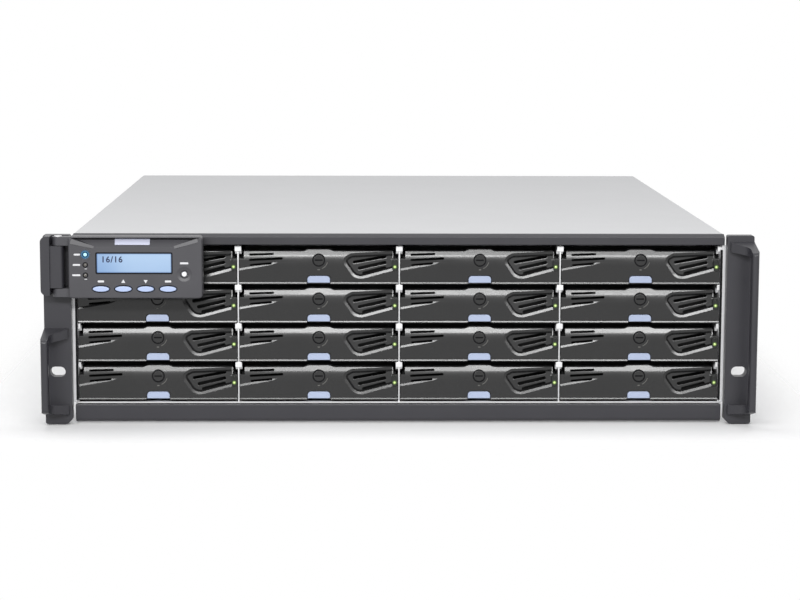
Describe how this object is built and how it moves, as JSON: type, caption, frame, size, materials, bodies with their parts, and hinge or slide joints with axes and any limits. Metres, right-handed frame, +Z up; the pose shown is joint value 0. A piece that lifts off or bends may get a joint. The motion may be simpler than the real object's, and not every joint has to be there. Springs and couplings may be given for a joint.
{
  "type": "iscsi storage array",
  "caption": "Rack-mount storage array with pull-out drive trays behind hinged flaps, a swing-out control panel with display and keys, and rear controller and power modules.",
  "frame": {"origin": "centre of the overall footprint, on the underside of the case", "axes": "+X to the right seen from the front, +Y from the front to the back, +Z up"},
  "size_m": [0.4826, 0.556, 0.1305],
  "materials": {
    "zinc_steel": "satin",
    "silver_cover": "satin",
    "circuit_board": "matte",
    "black_plastic": "satin",
    "panel_plastic": "satin",
    "flap_plastic": "satin",
    "display": "gloss",
    "lamp_lens": "gloss",
    "key_plastic": "satin",
    "white_plastic": "satin",
    "module_metal": "satin",
    "module_alloy": "satin",
    "drive_alloy": "satin",
    "switch_plastic": "gloss"
  },
  "bodies": {
    "chassis": {"chassis_tub": "zinc_steel", "top_cover": "silver_cover", "cover_screws": "zinc_steel", "drive_cage": "zinc_steel", "midplane_board": "circuit_board", "top_trim": "black_plastic", "bottom_trim": "black_plastic", "left_ear": "black_plastic", "right_ear": "black_plastic", "hinge_bracket": "black_plastic", "hinge_pin": "zinc_steel", "drive_tray_1_1": "drive_alloy", "drive_tray_2_1": "drive_alloy", "tray_flap_1_1": "flap_plastic", "tray_flap_2_1": "flap_plastic"},
    "control_panel": {"panel_housing": "panel_plastic", "panel_back_cover": "panel_plastic", "display_module": "display", "status_lights": "lamp_lens"},
    "key_back": {"key_back": "key_plastic"},
    "key_up": {"key_up": "key_plastic"},
    "key_down": {"key_down": "key_plastic"},
    "key_enter": {"key_enter": "key_plastic"},
    "mute_button": {"mute_button": "white_plastic"},
    "tray_1_2": {"drive_tray_1_2": "drive_alloy"},
    "flap_1_2": {"tray_flap_1_2": "flap_plastic"},
    "tray_1_3": {"drive_tray_1_3": "drive_alloy"},
    "flap_1_3": {"tray_flap_1_3": "flap_plastic"},
    "tray_1_4": {"drive_tray_1_4": "drive_alloy"},
    "flap_1_4": {"tray_flap_1_4": "flap_plastic"},
    "tray_2_2": {"drive_tray_2_2": "drive_alloy"},
    "flap_2_2": {"tray_flap_2_2": "flap_plastic"},
    "tray_2_3": {"drive_tray_2_3": "drive_alloy"},
    "flap_2_3": {"tray_flap_2_3": "flap_plastic"},
    "tray_2_4": {"drive_tray_2_4": "drive_alloy"},
    "flap_2_4": {"tray_flap_2_4": "flap_plastic"},
    "tray_3_1": {"drive_tray_3_1": "drive_alloy"},
    "flap_3_1": {"tray_flap_3_1": "flap_plastic"},
    "tray_3_2": {"drive_tray_3_2": "drive_alloy"},
    "flap_3_2": {"tray_flap_3_2": "flap_plastic"},
    "tray_3_3": {"drive_tray_3_3": "drive_alloy"},
    "flap_3_3": {"tray_flap_3_3": "flap_plastic"},
    "tray_3_4": {"drive_tray_3_4": "drive_alloy"},
    "flap_3_4": {"tray_flap_3_4": "flap_plastic"},
    "tray_4_1": {"drive_tray_4_1": "drive_alloy"},
    "flap_4_1": {"tray_flap_4_1": "flap_plastic"},
    "tray_4_2": {"drive_tray_4_2": "drive_alloy"},
    "flap_4_2": {"tray_flap_4_2": "flap_plastic"},
    "tray_4_3": {"drive_tray_4_3": "drive_alloy"},
    "flap_4_3": {"tray_flap_4_3": "flap_plastic"},
    "tray_4_4": {"drive_tray_4_4": "drive_alloy"},
    "flap_4_4": {"tray_flap_4_4": "flap_plastic"},
    "controller_upper": {"controller_upper": "module_metal"},
    "controller_lower": {"controller_lower": "module_metal"},
    "power_left": {"power_module_left": "module_alloy"},
    "fan_left": {"fan_rotor_left": "black_plastic"},
    "switch_left": {"power_switch_left": "switch_plastic"},
    "power_right": {"power_module_right": "module_alloy"},
    "fan_right": {"fan_rotor_right": "black_plastic"},
    "switch_right": {"power_switch_right": "switch_plastic"}
  },
  "joints": [
    {"name": "panel_swing", "type": "hinge", "parent": "chassis", "child": "control_panel", "pos_m": [-0.23, -0.263, 0.1096], "axis": [0, 0, -1], "range_deg": [0, 90]},
    {"name": "key_back_press", "type": "slide", "parent": "control_panel", "child": "key_back", "axis": [0, 1, 0], "range_m": [0, 0.001], "stiffness_N_per_m": 400},
    {"name": "key_up_press", "type": "slide", "parent": "control_panel", "child": "key_up", "axis": [0, 1, 0], "range_m": [0, 0.001], "stiffness_N_per_m": 400},
    {"name": "key_down_press", "type": "slide", "parent": "control_panel", "child": "key_down", "axis": [0, 1, 0], "range_m": [0, 0.001], "stiffness_N_per_m": 400},
    {"name": "key_enter_press", "type": "slide", "parent": "control_panel", "child": "key_enter", "axis": [0, 1, 0], "range_m": [0, 0.001], "stiffness_N_per_m": 400},
    {"name": "mute_button_press", "type": "slide", "parent": "control_panel", "child": "mute_button", "axis": [0, 1, 0], "range_m": [0, 0.001], "stiffness_N_per_m": 400},
    {"name": "tray_1_2_slide", "type": "slide", "parent": "chassis", "child": "tray_1_2", "axis": [0, -1, 0], "range_m": [0, 0.15]},
    {"name": "flap_1_2_swing", "type": "hinge", "parent": "tray_1_2", "child": "flap_1_2", "pos_m": [-0.05505, -0.24, 0.1115], "axis": [-1, 0, 0], "range_deg": [0, 65]},
    {"name": "tray_1_3_slide", "type": "slide", "parent": "chassis", "child": "tray_1_3", "axis": [0, -1, 0], "range_m": [0, 0.15]},
    {"name": "flap_1_3_swing", "type": "hinge", "parent": "tray_1_3", "child": "flap_1_3", "pos_m": [0.05505, -0.24, 0.1115], "axis": [-1, 0, 0], "range_deg": [0, 65]},
    {"name": "tray_1_4_slide", "type": "slide", "parent": "chassis", "child": "tray_1_4", "axis": [0, -1, 0], "range_m": [0, 0.15]},
    {"name": "flap_1_4_swing", "type": "hinge", "parent": "tray_1_4", "child": "flap_1_4", "pos_m": [0.16515, -0.24, 0.1115], "axis": [-1, 0, 0], "range_deg": [0, 65]},
    {"name": "tray_2_2_slide", "type": "slide", "parent": "chassis", "child": "tray_2_2", "axis": [0, -1, 0], "range_m": [0, 0.15]},
    {"name": "flap_2_2_swing", "type": "hinge", "parent": "tray_2_2", "child": "flap_2_2", "pos_m": [-0.05505, -0.24, 0.0848], "axis": [-1, 0, 0], "range_deg": [0, 65]},
    {"name": "tray_2_3_slide", "type": "slide", "parent": "chassis", "child": "tray_2_3", "axis": [0, -1, 0], "range_m": [0, 0.15]},
    {"name": "flap_2_3_swing", "type": "hinge", "parent": "tray_2_3", "child": "flap_2_3", "pos_m": [0.05505, -0.24, 0.0848], "axis": [-1, 0, 0], "range_deg": [0, 65]},
    {"name": "tray_2_4_slide", "type": "slide", "parent": "chassis", "child": "tray_2_4", "axis": [0, -1, 0], "range_m": [0, 0.15]},
    {"name": "flap_2_4_swing", "type": "hinge", "parent": "tray_2_4", "child": "flap_2_4", "pos_m": [0.16515, -0.24, 0.0848], "axis": [-1, 0, 0], "range_deg": [0, 65]},
    {"name": "tray_3_1_slide", "type": "slide", "parent": "chassis", "child": "tray_3_1", "axis": [0, -1, 0], "range_m": [0, 0.15]},
    {"name": "flap_3_1_swing", "type": "hinge", "parent": "tray_3_1", "child": "flap_3_1", "pos_m": [-0.16515, -0.24, 0.0581], "axis": [-1, 0, 0], "range_deg": [0, 65]},
    {"name": "tray_3_2_slide", "type": "slide", "parent": "chassis", "child": "tray_3_2", "axis": [0, -1, 0], "range_m": [0, 0.15]},
    {"name": "flap_3_2_swing", "type": "hinge", "parent": "tray_3_2", "child": "flap_3_2", "pos_m": [-0.05505, -0.24, 0.0581], "axis": [-1, 0, 0], "range_deg": [0, 65]},
    {"name": "tray_3_3_slide", "type": "slide", "parent": "chassis", "child": "tray_3_3", "axis": [0, -1, 0], "range_m": [0, 0.15]},
    {"name": "flap_3_3_swing", "type": "hinge", "parent": "tray_3_3", "child": "flap_3_3", "pos_m": [0.05505, -0.24, 0.0581], "axis": [-1, 0, 0], "range_deg": [0, 65]},
    {"name": "tray_3_4_slide", "type": "slide", "parent": "chassis", "child": "tray_3_4", "axis": [0, -1, 0], "range_m": [0, 0.15]},
    {"name": "flap_3_4_swing", "type": "hinge", "parent": "tray_3_4", "child": "flap_3_4", "pos_m": [0.16515, -0.24, 0.0581], "axis": [-1, 0, 0], "range_deg": [0, 65]},
    {"name": "tray_4_1_slide", "type": "slide", "parent": "chassis", "child": "tray_4_1", "axis": [0, -1, 0], "range_m": [0, 0.15]},
    {"name": "flap_4_1_swing", "type": "hinge", "parent": "tray_4_1", "child": "flap_4_1", "pos_m": [-0.16515, -0.24, 0.0314], "axis": [-1, 0, 0], "range_deg": [0, 65]},
    {"name": "tray_4_2_slide", "type": "slide", "parent": "chassis", "child": "tray_4_2", "axis": [0, -1, 0], "range_m": [0, 0.15]},
    {"name": "flap_4_2_swing", "type": "hinge", "parent": "tray_4_2", "child": "flap_4_2", "pos_m": [-0.05505, -0.24, 0.0314], "axis": [-1, 0, 0], "range_deg": [0, 65]},
    {"name": "tray_4_3_slide", "type": "slide", "parent": "chassis", "child": "tray_4_3", "axis": [0, -1, 0], "range_m": [0, 0.15]},
    {"name": "flap_4_3_swing", "type": "hinge", "parent": "tray_4_3", "child": "flap_4_3", "pos_m": [0.05505, -0.24, 0.0314], "axis": [-1, 0, 0], "range_deg": [0, 65]},
    {"name": "tray_4_4_slide", "type": "slide", "parent": "chassis", "child": "tray_4_4", "axis": [0, -1, 0], "range_m": [0, 0.15]},
    {"name": "flap_4_4_swing", "type": "hinge", "parent": "tray_4_4", "child": "flap_4_4", "pos_m": [0.16515, -0.24, 0.0314], "axis": [-1, 0, 0], "range_deg": [0, 65]},
    {"name": "controller_upper_slide", "type": "slide", "parent": "chassis", "child": "controller_upper", "axis": [0, 1, 0], "range_m": [0, 0.25]},
    {"name": "controller_lower_slide", "type": "slide", "parent": "chassis", "child": "controller_lower", "axis": [0, 1, 0], "range_m": [0, 0.25]},
    {"name": "power_left_slide", "type": "slide", "parent": "chassis", "child": "power_left", "axis": [0, 1, 0], "range_m": [0, 0.25]},
    {"name": "fan_left_spin", "type": "hinge", "parent": "power_left", "child": "fan_left", "pos_m": [-0.16715, 0.242, 0.08825], "axis": [0, 1, 0], "continuous": true},
    {"name": "switch_left_rock", "type": "hinge", "parent": "power_left", "child": "switch_left", "pos_m": [-0.16315, 0.247, 0.0214], "axis": [-1, 0, 0], "range_deg": [0, 16]},
    {"name": "power_right_slide", "type": "slide", "parent": "chassis", "child": "power_right", "axis": [0, 1, 0], "range_m": [0, 0.25]},
    {"name": "fan_right_spin", "type": "hinge", "parent": "power_right", "child": "fan_right", "pos_m": [0.16715, 0.242, 0.08825], "axis": [0, 1, 0], "continuous": true},
    {"name": "switch_right_rock", "type": "hinge", "parent": "power_right", "child": "switch_right", "pos_m": [0.17115, 0.247, 0.0214], "axis": [-1, 0, 0], "range_deg": [0, 16]}
  ]
}
